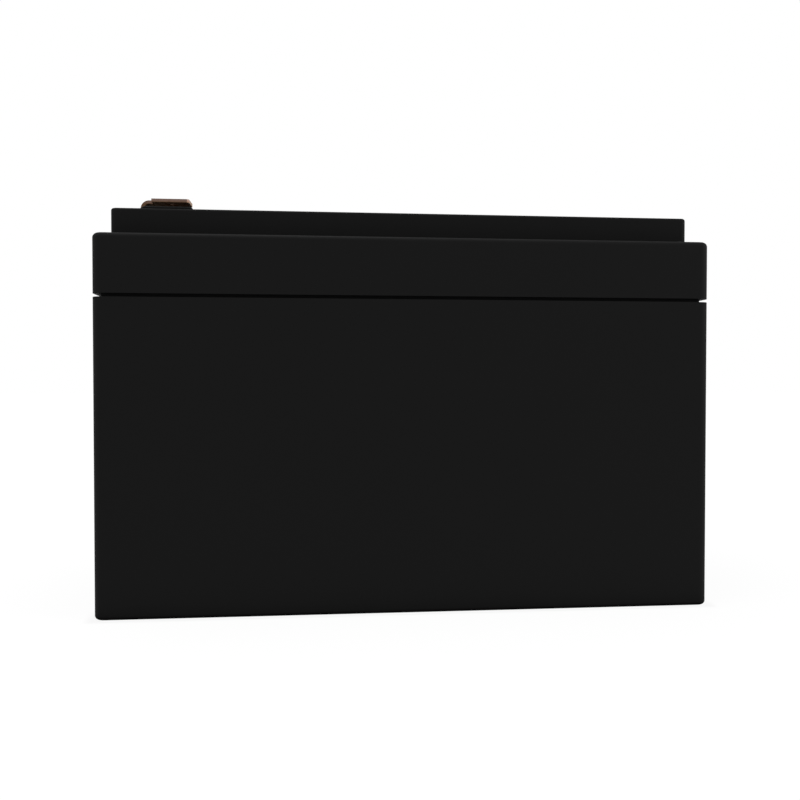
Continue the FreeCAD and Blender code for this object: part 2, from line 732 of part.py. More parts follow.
def make_resin(label, side, terminal, post):
    """Casting resin round the foot and riser, standing proud of the well with a round edge."""
    fill = new_body(f"{label}_fill")
    sketch = new_sketch(fill, "resin_outline", CHAMBER_FLOOR)
    half_x = D["well_length"] / 2
    half_y = D["well_width"] / 2
    rounded_rectangle(sketch, TERMINAL_X, TERMINAL_Y * side, half_x, half_y,
                      D["well_corner_radius"])
    pad(fill, sketch, "resin_block", D["chamber_depth"] + D["resin_rise"])
    resin_top = PLATEAU_TOP + D["resin_rise"]
    fillet(fill, "resin_edges", D["resin_edge_radius"],
           lambda middle, span: near(middle.z, resin_top))
    metal = doc.addObject("Part::Fuse", f"{label}_metal")
    metal.Base = terminal
    metal.Tool = post
    resin = doc.addObject("Part::Cut", label)
    resin.Label = label
    resin.Base = fill
    resin.Tool = metal
    doc.recompute()
    return resin


# Cells
def make_plate_group(label, count, thickness, side):
    """Pasted plates with lugs, burned together by one strap with a block on top."""
    body = new_body(label)
    half_plate = PLATE_WIDTH / 2
    lug_x = LUG_X * side
    half_lug = D["lug_width"] / 2
    first = -(PLATE_PITCH * (count - 1)) - thickness / 2
    sketch = new_sketch(body, "plate_profile", -(first + thickness), plane="XZ_Plane")
    polygon(sketch, [
        (-half_plate, PLATE_BOTTOM),
        (half_plate, PLATE_BOTTOM),
        (half_plate, PLATE_TOP),
        (lug_x + half_lug, PLATE_TOP),
        (lug_x + half_lug, STRAP_BOTTOM),
        (lug_x - half_lug, STRAP_BOTTOM),
        (lug_x - half_lug, PLATE_TOP),
        (-half_plate, PLATE_TOP),
    ])
    plate = pad(body, sketch, "plate", thickness)
    row_of(body, [plate], "plates", PLATE_PITCH * 2, count, "Y_Axis")

    sketch = new_sketch(body, "strap_outline", STRAP_BOTTOM)
    centred_rectangle(sketch, lug_x, ZERO, half_lug + D["strap_margin"], -first)
    pad(body, sketch, "strap", D["strap_height"])
    half_block = D["tab_block"] / 2
    sketch = new_sketch(body, "block_outline", STRAP_TOP)
    centred_rectangle(sketch, lug_x, ZERO, half_block, half_block)
    pad(body, sketch, "block", D["tab_block_height"])
    return body


def half_ring(sketch, x, y, middle_radius, half_thickness, side):
    """Half of a ring, open towards the plates, as two arcs joined by two short runs."""
    quarter = math.pi / 2
    start, end = (quarter, quarter * 3) if side < 0 else (-quarter, quarter)
    inner = arc(sketch, x, y, middle_radius - half_thickness, start, end)
    outer = arc(sketch, x, y, middle_radius + half_thickness, start, end)
    for point in (1, 2):
        for edge in (inner, outer):
            sketch.addConstraint(Sketcher.Constraint("Vertical", edge, point, edge, 3))
        join_ends(sketch, inner, point, outer, point, "Coincident")


def make_separator_mat(label):
    """One glass mat folded to and fro between all the plates of a cell."""
    body = new_body(label)
    half_mat = D["mat_thickness"] / 2
    turn_x = PLATE_WIDTH / 2 + D["mat_clearance"]
    step = PLATE_PITCH * 2
    positive_turn = (POSITIVE_THICKNESS + MAT_SPACE) / 2
    negative_turn = (NEGATIVE_THICKNESS + MAT_SPACE) / 2
    first_positive = -(PLATE_PITCH * (POSITIVE_COUNT - 1))
    first_inner_negative = -(PLATE_PITCH * (POSITIVE_COUNT - 2))

    sketch = new_sketch(body, "leaf_outlines", PLATE_BOTTOM)
    for side in (-1, 1):
        centred_rectangle(sketch, ZERO, first_positive + positive_turn * side,
                          turn_x, half_mat)
    leaves = pad(body, sketch, "leaf_pair", MAT_HEIGHT)
    row_of(body, [leaves], "leaves", step, POSITIVE_COUNT, "Y_Axis")

    sketch = new_sketch(body, "positive_fold_outline", PLATE_BOTTOM)
    half_ring(sketch, -turn_x, first_positive, positive_turn, half_mat, -1)
    fold = pad(body, sketch, "positive_fold", MAT_HEIGHT)
    row_of(body, [fold], "positive_folds", step, POSITIVE_COUNT, "Y_Axis")

    sketch = new_sketch(body, "negative_fold_outline", PLATE_BOTTOM)
    half_ring(sketch, turn_x, first_inner_negative, negative_turn, half_mat, 1)
    fold = pad(body, sketch, "negative_fold", MAT_HEIGHT)
    row_of(body, [fold], "negative_folds", step, NEGATIVE_COUNT - 2, "Y_Axis")
    return body


def make_intercell_link(number, start, end):
    """Lead bar from one cell's strap block to the next, through a partition notch."""
    body = new_body(f"intercell_link_{number}")
    half_block = D["tab_block"] / 2
    sketch = new_sketch(body, "link_outline", LINK_BOTTOM)
    rectangle(sketch, start[0] - half_block, end[0] + half_block,
              start[1] - half_block, end[1] + half_block)
    pad(body, sketch, "link_bar", D["link_height"])
    return body


def make_links():
    """Four links along the rows and one across the middle partition."""
    links = []
    for side, numbers in ((-1, (1, 2)), (1, (5, 4))):
        for column, number in zip((-1, 1), numbers):
            middle = CELL_STEP / 2 * column
            reach = CELL_STEP / 2 - LUG_X
            y = ROW_Y * side
            links.append(make_intercell_link(number, (middle - reach, y), (middle + reach, y)))
    cross_x = CELL_STEP + LUG_X
    links.append(make_intercell_link(3, (cross_x, -ROW_Y), (cross_x, ROW_Y)))
    return links


def make_cells():
    """Plates and mats of the six cells. The back row is the front row turned half round."""
    pieces = []
    for number, column, row, turn in CELLS:
        group = [
            make_plate_group(f"positive_plates_{number}", POSITIVE_COUNT,
                             POSITIVE_THICKNESS, 1),
            make_plate_group(f"negative_plates_{number}", NEGATIVE_COUNT,
                             NEGATIVE_THICKNESS, -1),
            make_separator_mat(f"separator_mat_{number}"),
        ]
        for body in group:
            place(body, CELL_STEP * column, ROW_Y * row, turn=turn)
        pieces += group
    return pieces


def make_terminals():
    """Both terminals with their posts, rings and resin; the front one is negative."""
    pieces = []
    for sign, side in (("negative", -1), ("positive", 1)):
        terminal = make_terminal(f"terminal_{sign}", side)
        post = make_terminal_post(f"terminal_post_{sign}", side)
        ring = make_post_ring(f"post_ring_{sign}", side)
        doc.recompute()
        resin = make_resin(f"terminal_resin_{sign}", side, terminal, post)
        pieces += [terminal, post, ring, resin]
    return pieces


def make_model():
    pieces = [make_case_jar(), make_lid(), make_lid_sealant(), make_vent_cover()]
    for index, (x, y) in enumerate(valve_places(), start=1):
        pieces.append(make_valve_cap(index, x, y))
    return pieces + make_terminals() + make_cells() + make_links()


def check_and_export(pieces):
    """Stops on any failed object or bad shape, then writes one STEP file per piece."""
    doc.recompute()
    for item in doc.Objects:
        if "Invalid" in item.State or "Error" in item.State:
            raise RuntimeError(f"{item.Label} failed: {item.State}")
    for piece in pieces:
        if piece.Shape.isNull() or not piece.Shape.isValid():
            raise RuntimeError(f"{piece.Label} has no valid shape")
    os.makedirs("parts", exist_ok=True)
    for piece in pieces:
        piece.Shape.exportStep(f"parts/{piece.Label}.step")
        print(piece.Label, len(piece.Shape.Solids), round(piece.Shape.Volume, 1))


check_and_export(make_model())
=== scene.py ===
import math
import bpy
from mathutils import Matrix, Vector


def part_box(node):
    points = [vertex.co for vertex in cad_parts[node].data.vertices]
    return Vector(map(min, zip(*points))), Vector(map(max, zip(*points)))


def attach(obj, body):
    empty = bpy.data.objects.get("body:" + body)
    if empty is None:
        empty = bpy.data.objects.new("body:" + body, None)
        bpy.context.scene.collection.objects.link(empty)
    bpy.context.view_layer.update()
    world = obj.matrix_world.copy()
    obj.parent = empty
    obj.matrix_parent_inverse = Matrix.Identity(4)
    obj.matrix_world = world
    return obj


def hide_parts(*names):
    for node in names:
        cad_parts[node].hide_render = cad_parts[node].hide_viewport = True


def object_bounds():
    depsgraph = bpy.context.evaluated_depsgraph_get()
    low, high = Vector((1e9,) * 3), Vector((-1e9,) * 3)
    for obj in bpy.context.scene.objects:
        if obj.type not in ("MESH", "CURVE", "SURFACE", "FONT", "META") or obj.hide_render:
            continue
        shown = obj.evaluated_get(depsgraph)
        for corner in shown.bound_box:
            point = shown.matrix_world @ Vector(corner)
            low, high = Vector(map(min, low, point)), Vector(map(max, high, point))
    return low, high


bl_info = {
    "name": "Sealed Battery Looks",
    "version": (1, 0, 0),
    "blender": (4, 5, 0),
    "location": "3D View > Sidebar > Battery",
    "description": "Finishes, resin pools, soft light and camera for a sealed battery",
    "category": "Object",
}

import bpy
import numpy as np
from bpy.props import FloatProperty, FloatVectorProperty, PointerProperty
from bpy.types import Operator, Panel, PropertyGroup

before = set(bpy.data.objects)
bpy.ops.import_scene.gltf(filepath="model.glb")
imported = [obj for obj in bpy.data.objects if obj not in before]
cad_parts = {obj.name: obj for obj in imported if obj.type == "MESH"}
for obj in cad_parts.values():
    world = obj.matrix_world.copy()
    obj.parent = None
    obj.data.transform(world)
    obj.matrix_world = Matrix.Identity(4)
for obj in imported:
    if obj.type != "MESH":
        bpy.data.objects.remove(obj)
CAD_BOX = [list(corner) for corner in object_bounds()]
MM = 0.001
POLES = ("negative", "positive")
WHITE = (1.0, 1.0, 1.0, 1.0)

# Terminal and well: the strip's thickness, how much narrower its riser is, and the radius of
# the well's corners
STRIP = 0.8 * MM
RISER_SETBACK = 2.3 * MM
WELL_ROUND = 1.1 * MM

# Resin dome: where it leaves the plateau and where it is at full height, from the outer end;
# points in a ring, rings, how far they shrink, and how much they crowd towards the wall
DIP = (0.3 * MM, 1.9 * MM)
RING_POINTS = 160
RINGS = 56
SHRINK = 0.98
CROWDING = 1.8

# Terminal finish: from what depth to what depth below the top the darker painted shade of the
# underside and the bent part turns into the upper colour, and from the free end the strip's
# colour turns into that of the cut end; the colour that the metal mirrors at a grazing view
PAINTED_SHADE_FADE = (0.95 * MM, 0.3 * MM)
CUT_FADE = (0.03 * MM, 0.01 * MM)
EDGE_TINT = (0.60, 0.44, 0.33, 1.0)

# Pairs of colours, between which a pattern runs
LEAD = ((0.22, 0.23, 0.25, 1.0), (0.12, 0.125, 0.135, 1.0))
BROWN_PASTE = ((0.060, 0.026, 0.014, 1.0), (0.028, 0.012, 0.008, 1.0))
GREY_PASTE = ((0.16, 0.165, 0.17, 1.0), (0.09, 0.092, 0.098, 1.0))
FLEECE = ((0.70, 0.70, 0.68, 1.0), (0.86, 0.86, 0.84, 1.0))
RUBBER = ((0.018, 0.018, 0.018, 1.0), (0.09, 0.09, 0.088, 1.0))
CEMENT = ((0.010, 0.010, 0.010, 1.0), (0.022, 0.022, 0.021, 1.0))
# Floor colours: a dark painted contact shadow next to the case, and the pale paint further out
FLOOR_PAINT_AND_PAINTED_SHADOW = ((0.02, 0.02, 0.02, 1.0), (0.8, 0.8, 0.8, 1.0))

# Floor: half its side, the strength and the least share of its white, and the distances from
# the case over which that white grows, its dark painted contact shadow gives way to the pale
# paint, and the light that it sends back grows
FLOOR_HALF = 4.0
FLOOR_GLOW = 1.03
LEAST_WHITE = 0.9
WHITE_FADE = (0.03, 0.25)
PAINTED_SHADOW_FADE = (0.0, 3 * MM)
BOUNCE_FADE = (1 * MM, 8 * MM)

# Lamps: what they face, where they stand and the sides of their squares; the camera: the
# width of its sensor in mm and the nearest point that it sees
AIM = (0.0, 0.0, 50 * MM)
KEY_PLACE = (-0.10, -0.05, 0.55)
LEFT_PLACE = (-0.55, -0.30, 0.20)
RIGHT_PLACE = (0.55, -0.20, 0.25)
KEY_SIDE = 0.5
FILL_SIDE = 0.35
SENSOR = 36.0
NEAREST = 0.01


# Shader maths
class Field:
    """A value that varies over a surface: a socket that takes part in sums and products."""

    def __init__(self, finish, socket):
        self.finish = finish
        self.socket = socket

    def math(self, operation, *values):
        return self.finish.add("ShaderNodeMath", {"operation": operation}, dict(enumerate(values)))

    def __add__(self, other):
        return self.math("ADD", self, other)

    __radd__ = __add__

    def __sub__(self, other):
        return self.math("SUBTRACT", self, other)

    def __rsub__(self, other):
        return self.math("SUBTRACT", other, self)

    def __mul__(self, other):
        return self.math("MULTIPLY", self, other)

    __rmul__ = __mul__

    def __pow__(self, power):
        return self.math("POWER", self, power)

    def __abs__(self):
        return self.math("ABSOLUTE", self)

    def most(self, other):
        return self.math("MAXIMUM", self, other)

    def step(self, low, high):
        """Runs smoothly from 0 at low to 1 at high."""
        inputs = {"Value": self, "From Min": low, "From Max": high}
        settings = {"interpolation_type": "SMOOTHSTEP"}
        return self.finish.add("ShaderNodeMapRange", settings, inputs)


class Finish:
    """The nodes of one material or of the world."""

    def __init__(self, name, owner=None):
        self.owner = owner or bpy.data.materials.new(name)
        self.owner.use_nodes = True
        self.nodes = self.owner.node_tree.nodes
        self.links = self.owner.node_tree.links

    def feed(self, socket, value):
        if isinstance(value, Field):
            self.links.new(value.socket, socket)
        else:
            socket.default_value = value

    def add(self, kind, settings=None, inputs=None, output=0):
        """Adds one node: its settings first, then the values or links of its sockets."""
        node = self.nodes.new(kind)
        for name, value in (settings or {}).items():
            setattr(node, name, value)
        for name, value in (inputs or {}).items():
            self.feed(node.inputs[name], value)
        return Field(self, node.outputs[output])

    def place(self):
        """Object coordinates, in metres."""
        return self.add("ShaderNodeTexCoord", output="Object")

    def axis(self, name):
        """One Object coordinate: X, Y or Z."""
        return self.add("ShaderNodeSeparateXYZ", inputs={0: self.place()}, output=name)

    def stretched(self, scale):
        """Object coordinates, each times its own factor."""
        return self.add("ShaderNodeMapping", inputs={"Vector": self.place(), "Scale": scale})

    def noise(self, size, detail=2.0, roughness=0.5, stretch=(1.0, 1.0, 1.0)):
        """Soft noise whose features are about size across, in metres."""
        inputs = {"Vector": self.stretched(stretch), "Scale": 1.0 / size,
                  "Detail": detail, "Roughness": roughness}
        return self.add("ShaderNodeTexNoise", {"noise_dimensions": "3D"}, inputs, "Fac")

    def specks(self, size):
        """Distance to the middle of scattered cells about size across, in metres."""
        inputs = {"Vector": self.place(), "Scale": 1.0 / size}
        return self.add("ShaderNodeTexVoronoi", {}, inputs, "Distance")

    def mixed(self, factor, first, second):
        """The first colour where factor is 0, the second where it is 1."""
        settings = {"data_type": "RGBA", "blend_type": "MIX"}
        inputs = {0: factor, 6: first, 7: second}
        return self.add("ShaderNodeMix", settings, inputs, 2)

    def bumped(self, height, depth):
        """A normal raised by height, a field from 0 to 1, over depth metres."""
        inputs = {"Height": height, "Distance": depth, "Strength": 1.0}
        return self.add("ShaderNodeBump", {}, inputs, "Normal")

    def rays(self, kind):
        """1 for one kind of ray, such as Camera, and 0 for all others."""
        return self.add("ShaderNodeLightPath", output=f"Is {kind} Ray")

    def white_rays(self):
        """1 for the rays that should meet plain white: camera, glossy and transmission rays."""
        return self.rays("Camera").most(self.rays("Glossy")).most(self.rays("Transmission"))

    def shader(self, **inputs):
        """Sets the sockets of the material's own shader; underscores stand for spaces."""
        principled = self.nodes["Principled BSDF"]
        for name, value in inputs.items():
            self.feed(principled.inputs[name.replace("_", " ")], value)
        return self.owner


def rgba(colour, level=1.0):
    """A colour from the panel, times a level, with full alpha."""
    return (colour[0] * level, colour[1] * level, colour[2] * level, 1.0)


# Sizes and colours that a user would change
class CaseLook(PropertyGroup):
    colour: FloatVectorProperty(
        name="Colour", description="Base colour of the black moulding", subtype="COLOR",
        size=3, default=(0.0076, 0.0076, 0.0076), min=0.0, max=1.0)
    roughness: FloatProperty(
        name="Roughness", description="Roughness of the moulded faces", subtype="FACTOR",
        default=0.55, min=0.0, max=1.0)
    gloss: FloatProperty(
        name="Gloss", description="Strength of the plastic's reflection", subtype="FACTOR",
        default=0.03, min=0.0, max=1.0)
    grain_size: FloatProperty(
        name="Grain size", description="Size of the mould's spark grain", subtype="DISTANCE",
        unit="LENGTH", default=0.35 * MM, precision=6)
    grain_depth: FloatProperty(
        name="Grain depth", description="Depth of the mould's spark grain", subtype="DISTANCE",
        unit="LENGTH", default=0.012 * MM, precision=6)


class TabLook(PropertyGroup):
    colour: FloatVectorProperty(
        name="Colour", description="Colour of the upper side", subtype="COLOR", size=3,
        default=(0.150, 0.099, 0.080), min=0.0, max=1.0)
    # Painted shade: a darker, browner colour for the underside and the bent part, for the shade
    # under the blade
    painted_shade_under: FloatVectorProperty(
        name="Underside", description="Colour of the underside and the bent part",
        subtype="COLOR", size=3, default=(0.098, 0.055, 0.030), min=0.0, max=1.0)
    tarnish: FloatVectorProperty(
        name="Tarnish", description="Colour of the darker patches", subtype="COLOR", size=3,
        default=(0.070, 0.040, 0.026), min=0.0, max=1.0)
    cut: FloatVectorProperty(
        name="Cut end", description="Colour of the freshly cut end", subtype="COLOR", size=3,
        default=(0.42, 0.37, 0.34), min=0.0, max=1.0)
    roughness: FloatProperty(
        name="Roughness", description="Roughness of the rolled strip", subtype="FACTOR",
        default=0.28, min=0.0, max=1.0)


class ResinLook(PropertyGroup):
    black: FloatVectorProperty(
        name="Negative", description="Resin round the negative terminal", subtype="COLOR",
        size=3, default=(0.004, 0.004, 0.004), min=0.0, max=1.0)
    red: FloatVectorProperty(
        name="Positive", description="Resin round the positive terminal", subtype="COLOR",
        size=3, default=(0.30, 0.012, 0.010), min=0.0, max=1.0)
    round: FloatProperty(
        name="Round", description="Radius of the dome's edge at the wall of the well",
        subtype="DISTANCE", unit="LENGTH", default=0.7 * MM, precision=6)
    rise: FloatProperty(
        name="Rise", description="How far the resin creeps up the metal",
        subtype="DISTANCE", unit="LENGTH", default=0.18 * MM, precision=6)
    reach: FloatProperty(
        name="Reach", description="How far from the metal the creep fades",
        subtype="DISTANCE", unit="LENGTH", default=0.4 * MM, precision=6)


class StageLook(PropertyGroup):
    eye: FloatVectorProperty(
        name="Eye", description="Where the camera stands", subtype="XYZ", unit="LENGTH",
        size=3, default=(-22.75 * MM, -237.7 * MM, 56.26 * MM), precision=5)
    turn: FloatProperty(
        name="Turn", description="Camera turned towards +X", subtype="ANGLE",
        default=math.radians(5.573))
    tilt: FloatProperty(
        name="Tilt", description="Camera tilted down", subtype="ANGLE",
        default=math.radians(1.161))
    lens: FloatProperty(
        name="Lens", description="Focal length in mm on a 36 mm frame", default=38.25)
    key: FloatProperty(
        name="Key", description="Power of the soft lamp overhead, in watts", default=1.9)
    left: FloatProperty(
        name="Left", description="Power of the soft lamp on the left, in watts", default=0.1)
    right: FloatProperty(
        name="Right", description="Power of the soft lamp on the right, in watts", default=1.0)
    ambient: FloatProperty(
        name="Ambient", description="Strength of the even light from all round", default=0.57)
    bounce: FloatProperty(
        name="Bounce", description="Share of its own white that the floor sends back up",
        subtype="FACTOR", default=0.8, min=0.0, max=1.0)


# Finishes
def case_finish(look):
    """Matt black moulding: faint cloudy tone, fine grain with pores, slightly uneven sheen."""
    finish = Finish("black_moulding")
    cloud = finish.noise(size=28 * MM, detail=3.0)
    grain = finish.noise(look.grain_size, detail=3.0, roughness=0.6)
    pores = finish.specks(look.grain_size * 2.2)
    tone = 0.9 + 0.2 * cloud
    colour = finish.mixed(tone - 0.4, rgba(look.colour, 0.8), rgba(look.colour, 1.2))
    height = 0.7 * grain + 0.3 * pores
    roughness = look.roughness - 0.04 + 0.05 * cloud + 0.06 * grain
    return finish.shader(
        Base_Color=colour, Roughness=roughness, Specular_IOR_Level=look.gloss,
        Normal=finish.bumped(height, look.grain_depth),
    )


def tab_finish(look, tip, top):
    """Rolled strip: fine lengthwise draw lines, painted shade that makes the underside and the
    bent part darker and browner, tarnish in soft patches and a brighter cut end."""
    finish = Finish("tab_strip")
    draw = finish.noise(size=0.12 * MM, stretch=(0.06, 1.0, 1.0))
    patch = finish.noise(size=1.6 * MM, detail=4.0, roughness=0.6)
    tarnish = patch.step(0.46, 0.72)
    # Painted shade: below the top the strip turns from its upper colour to the darker painted
    # shade colour
    upper = finish.axis("Z").step(*(top - depth for depth in PAINTED_SHADE_FADE))
    metal = finish.mixed(upper, rgba(look.painted_shade_under), rgba(look.colour))
    skin = finish.mixed(tarnish * 0.7, metal, rgba(look.tarnish))
    end = finish.axis("X").step(*(tip - depth for depth in CUT_FADE))
    colour = finish.mixed(end, skin, rgba(look.cut))
    roughness = look.roughness - 0.06 + 0.12 * draw + 0.14 * tarnish
    return finish.shader(
        Base_Color=colour, Metallic=1.0, Roughness=roughness, Specular_Tint=EDGE_TINT,
        Normal=finish.bumped(draw, 0.006 * MM),
    )


def resin_finish(name, colour):
    """Poured resin: smooth, with a few tiny bubbles and a slow ripple."""
    finish = Finish(name)
    ripple = finish.noise(size=1.8 * MM, detail=1.0)
    bubbles = 1.0 - finish.specks(size=0.5 * MM).step(0.05, 0.16)
    shade = finish.mixed(bubbles * 0.5, rgba(colour), rgba(colour, 1.9))
    return finish.shader(
        Base_Color=shade, Roughness=0.34 + 0.12 * ripple, Specular_IOR_Level=0.02,
        Normal=finish.bumped(0.8 * ripple + 0.2 * bubbles, 0.03 * MM),
    )


def cast_lead_finish():
    """Dull cast lead with a mottled oxide skin."""
    finish = Finish("cast_lead")
    skin = finish.noise(size=1.2 * MM, detail=5.0, roughness=0.65)
    return finish.shader(
        Base_Color=finish.mixed(skin.step(0.3, 0.7), *LEAD), Metallic=0.9,
        Roughness=0.42 + 0.3 * skin, Normal=finish.bumped(skin, 0.06 * MM),
    )


def paste_finish(name, colours):
    """Pasted plate: crumbly paste in soft blotches."""
    finish = Finish(name)
    crumb = finish.noise(size=0.5 * MM, detail=6.0, roughness=0.7)
    blotch = finish.noise(size=7.0 * MM)
    tone = (0.6 * crumb + 0.4 * blotch).step(0.35, 0.65)
    return finish.shader(
        Base_Color=finish.mixed(tone, *colours), Roughness=0.75 + 0.2 * crumb,
        Normal=finish.bumped(crumb, 0.1 * MM),
    )


def mat_finish():
    """Damp glass fleece: fine crossing fibres."""
    finish = Finish("glass_fleece")
    along = finish.noise(size=0.06 * MM, detail=1.0, stretch=(0.05, 1.0, 1.0))
    across = finish.noise(size=0.06 * MM, detail=1.0, stretch=(1.0, 1.0, 0.05))
    fibre = along.most(across)
    return finish.shader(
        Base_Color=finish.mixed(fibre, *FLEECE), Roughness=0.9 - 0.1 * fibre,
        Normal=finish.bumped(fibre, 0.03 * MM),
    )


def rubber_finish():
    """Moulded rubber with a dusting of talc."""
    finish = Finish("valve_rubber")
    talc = finish.noise(size=0.9 * MM, detail=4.0, roughness=0.6).step(0.5, 0.8)
    colour = finish.mixed(talc * 0.4, *RUBBER)
    return finish.shader(Base_Color=colour, Roughness=0.62 + 0.25 * talc)


def cement_finish():
    """Set cement: dark, slightly wavy."""
    finish = Finish("lid_cement")
    wave = finish.noise(size=2.5 * MM)
    return finish.shader(
        Base_Color=finish.mixed(wave, *CEMENT), Roughness=0.35 + 0.2 * wave,
        Normal=finish.bumped(wave, 0.05 * MM),
    )


def dress(starts, material):
    """Gives one material to every node whose name starts with one of starts."""
    for name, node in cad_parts.items():
        if name.startswith(tuple(starts)):
            for held in node.material_slots:
                held.material = material


# Surfaces
def mesh_piece(name, points, faces, material):
    """A smooth mesh piece that rides on the battery."""
    mesh = bpy.data.meshes.new(name)
    mesh.from_pydata(points.reshape(-1, 3).tolist(), [], faces)
    mesh.update()
    mesh.polygons.foreach_set("use_smooth", np.ones(len(mesh.polygons), dtype=bool))
    mesh.materials.append(material)
    piece = bpy.data.objects.new(name, mesh)
    bpy.context.scene.collection.objects.link(piece)
    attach(piece, "root")
    return piece


def ring_faces(rings, around):
    """Quads between successive rings of points, and one face that closes each end."""
    row = np.arange(rings - 1)[:, None] * around
    column = np.arange(around)[None, :]
    following = (column + 1) % around
    quads = np.stack([row + column, row + following, row + around + following,
                      row + around + column], axis=-1).reshape(-1, 4).tolist()
    last = (rings - 1) * around
    return quads + [list(range(around))[::-1], list(range(last, last + around))]


def rounded_outline(half, radius, around):
    """Evenly spread points of a rounded rectangle. Fine points come first: a point of a circle
    is moved out to the inset corner of its own quarter. Even steps are then taken along them."""
    fine_count = 8 * around
    angle = (np.arange(fine_count) + 0.5) * 2 * math.pi / fine_count
    turn = np.stack([np.cos(angle), np.sin(angle)], -1)
    fine = np.sign(turn) * (half - radius) + radius * turn
    loop = np.vstack([fine, fine[:1]])
    steps = np.linalg.norm(np.diff(loop, axis=0), axis=1)
    length = np.concatenate([[0.0], np.cumsum(steps)])
    wanted = np.linspace(0.0, length[-1], around, endpoint=False)
    return np.stack([np.interp(wanted, length, loop[:, axis]) for axis in (0, 1)], -1)


def depth_inside(offset, half, radius):
    """How deep each point lies inside a rounded rectangle: radius - |max(q, 0)| -
    min(max(qx, qy), 0), where q = |offset| - (half - radius)."""
    q = np.abs(offset) - (half - radius)
    outside = np.linalg.norm(np.maximum(q, 0.0), axis=-1)
    return radius - outside - np.minimum(q.max(axis=-1), 0.0)


def riser_box(pole, low, high):
    """Plan of the strip's riser, which is narrowed on its outer side: its thickness along X,
    its width along Y."""
    start, end = low[1], high[1]
    if pole == "negative":
        start += RISER_SETBACK
    else:
        end -= RISER_SETBACK
    return np.array([low[0], start]), np.array([low[0] + STRIP, end])


def make_resin_pool(pole, material, look):
    """Resin in one well, a low dome. Rings of a rounded rectangle shrink from the wall to the
    middle. Where the depth d inside the wall is less than the round r, the dome falls by
    r - sqrt(r^2 - (r - d)^2). It dips smoothly to the plateau at the outer end, and at the
    distance a from the riser it climbs rise * exp(-a / reach)."""
    node = f"terminal_resin_{pole}"
    low, high = (np.array(corner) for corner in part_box(node))
    metal_low, metal_high = riser_box(pole, *(np.array(c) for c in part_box(f"terminal_{pole}")))
    centre = (low + high)[:2] / 2
    half = (high - low)[:2] / 2
    outline = rounded_outline(half, WELL_ROUND, RING_POINTS)
    share = 1.0 - SHRINK * np.linspace(0.0, 1.0, RINGS) ** CROWDING
    offset = outline[None] * share[:, None, None]
    short = np.maximum(look.round - depth_inside(offset, half, WELL_ROUND), 0.0)
    fall = look.round - np.sqrt(look.round ** 2 - np.minimum(short, look.round) ** 2)
    plan = centre + offset
    apart = np.maximum(np.maximum(metal_low - plan, plan - metal_high), 0.0)
    climb = look.rise * np.exp(-np.linalg.norm(apart, axis=-1) / look.reach)
    along = np.clip((plan[..., 0] - low[0] - DIP[0]) / (DIP[1] - DIP[0]), 0.0, 1.0)
    dip = along ** 2 * (3.0 - 2.0 * along)
    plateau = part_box("lid")[1][2]
    height = plateau + (high[2] - plateau - fall) * dip + climb
    top = np.concatenate([plan, height[..., None]], axis=-1)
    base = np.concatenate([plan[0], np.full((RING_POINTS, 1), low[2])], axis=-1)
    points = np.concatenate([base[None], top])
    faces = ring_faces(RINGS + 1, RING_POINTS)
    piece = mesh_piece(f"resin_pool_{pole}", points, faces, material)
    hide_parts(node)


# Operators, one for each piece or group of like pieces
class BATTERY_OT_case(Operator):
    """Finish the jar, the lid and the vent cover as matt black mouldings"""

    bl_idname = "battery.case"
    bl_label = "Finish the case"

    def execute(self, context):
        dress(("case_jar", "lid", "vent_cover"), case_finish(context.scene.battery_case))
        return {"FINISHED"}


class BATTERY_OT_terminals(Operator):
    """Finish both bent terminals as dull brown strip"""

    bl_idname = "battery.terminals"
    bl_label = "Finish the terminals"

    def execute(self, context):
        names = [f"terminal_{pole}" for pole in POLES]
        tip, _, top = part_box(names[0])[1]
        dress(names, tab_finish(context.scene.battery_tab, tip, top))
        return {"FINISHED"}


class BATTERY_OT_resin(Operator):
    """Pour the resin round both terminals"""

    bl_idname = "battery.resin"
    bl_label = "Pour the resin"

    def execute(self, context):
        look = context.scene.battery_resin
        for pole, colour in zip(POLES, (look.black, look.red)):
            make_resin_pool(pole, resin_finish(f"{pole}_resin", colour), look)
        return {"FINISHED"}


class BATTERY_OT_inside(Operator):
    """Finish what the case holds: lead, paste, mats, rubber and cement"""

    bl_idname = "battery.inside"
    bl_label = "Finish the inside"

    def execute(self, context):
        dress(("terminal_post", "intercell_link"), cast_lead_finish())
        dress(("positive_plates",), paste_finish("brown_paste", BROWN_PASTE))
        dress(("negative_plates",), paste_finish("grey_paste", GREY_PASTE))
        dress(("separator_mat",), mat_finish())
        dress(("valve_cap", "post_ring"), rubber_finish())
        dress(("lid_sealant",), cement_finish())
        return {"FINISHED"}


def area_lamp(name, place, side, power):
    """A square soft lamp at a place, turned towards the battery."""
    lamp = bpy.data.lights.new(name, "AREA")
    lamp.size = side
    lamp.energy = power
    holder = bpy.data.objects.new(name, lamp)
    away = np.array(place) - np.array(AIM)
    tip_back = math.acos(away[2] / np.linalg.norm(away))
    holder.location = place
    holder.rotation_euler = (tip_back, 0.0, math.atan2(away[0], -away[1]))
    bpy.context.scene.collection.objects.link(holder)


